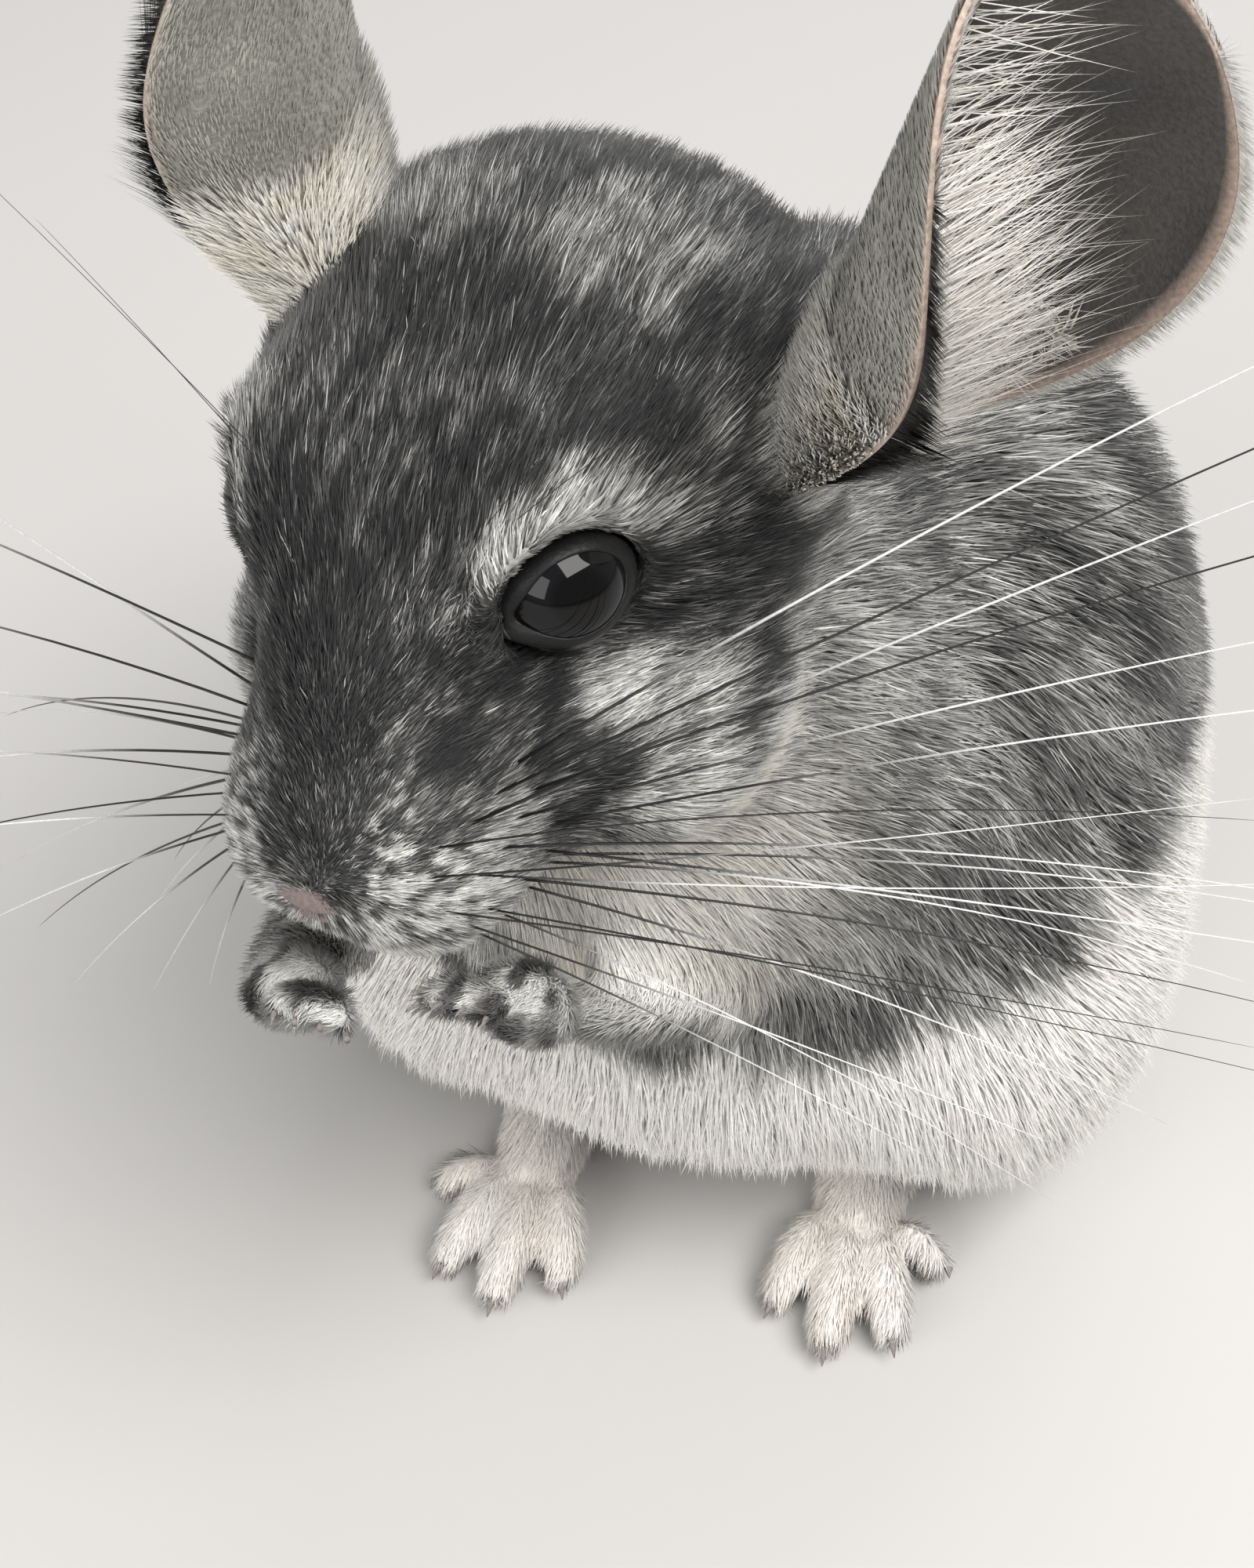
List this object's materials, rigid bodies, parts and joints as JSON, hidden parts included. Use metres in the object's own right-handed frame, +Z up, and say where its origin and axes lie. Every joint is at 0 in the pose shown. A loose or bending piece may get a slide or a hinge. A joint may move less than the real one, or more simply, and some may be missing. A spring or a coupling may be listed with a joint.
{
  "type": "chinchilla",
  "caption": "Life-size still model of a standard grey chinchilla that sits up on its hind feet and holds its front paws to its mouth",
  "frame": {"origin": "centre of the box's footprint, on the floor that the feet, rump and tail rest on", "axes": "+Z up; the body faces -Y and its left side is +X; the head is turned a little to its own right"},
  "size_m": [0.211, 0.2244, 0.1849],
  "materials": {
    "grey_fur": "dense soft fur, grey ticked with black and white",
    "pale_fur": "short white to cream fur",
    "ear": "thin grey-tan skin with fine down",
    "eye": "wet black",
    "claw": "dull grey horn",
    "whisker": "stiff hair, dark at the root and white beyond"
  },
  "bodies": {
    "root": {"trunk": "grey_fur", "neck": "grey_fur", "head": "grey_fur", "muzzle": "grey_fur", "eye_left": "eye", "ear_left": "ear", "whisker_left_1": "whisker", "whisker_left_2": "whisker", "whisker_left_3": "whisker", "whisker_left_4": "whisker", "whisker_left_5": "whisker", "eye_right": "eye", "ear_right": "ear", "whisker_right_1": "whisker", "whisker_right_2": "whisker", "whisker_right_3": "whisker", "whisker_right_4": "whisker", "whisker_right_5": "whisker", "haunch_left": "grey_fur", "haunch_right": "grey_fur", "hind_foot_left": "pale_fur", "claw_hind_left_inner": "claw", "claw_hind_left_middle": "claw", "claw_hind_left_outer": "claw", "claw_hind_left_small": "claw", "hind_foot_right": "pale_fur", "claw_hind_right_inner": "claw", "claw_hind_right_middle": "claw", "claw_hind_right_outer": "claw", "claw_hind_right_small": "claw", "fore_leg_left": "pale_fur", "paw_left": "pale_fur", "claw_fore_left_1": "claw", "claw_fore_left_2": "claw", "claw_fore_left_3": "claw", "claw_fore_left_4": "claw", "fore_leg_right": "pale_fur", "paw_right": "pale_fur", "claw_fore_right_1": "claw", "claw_fore_right_2": "claw", "claw_fore_right_3": "claw", "claw_fore_right_4": "claw", "tail": "grey_fur"}
  },
  "joints": []
}
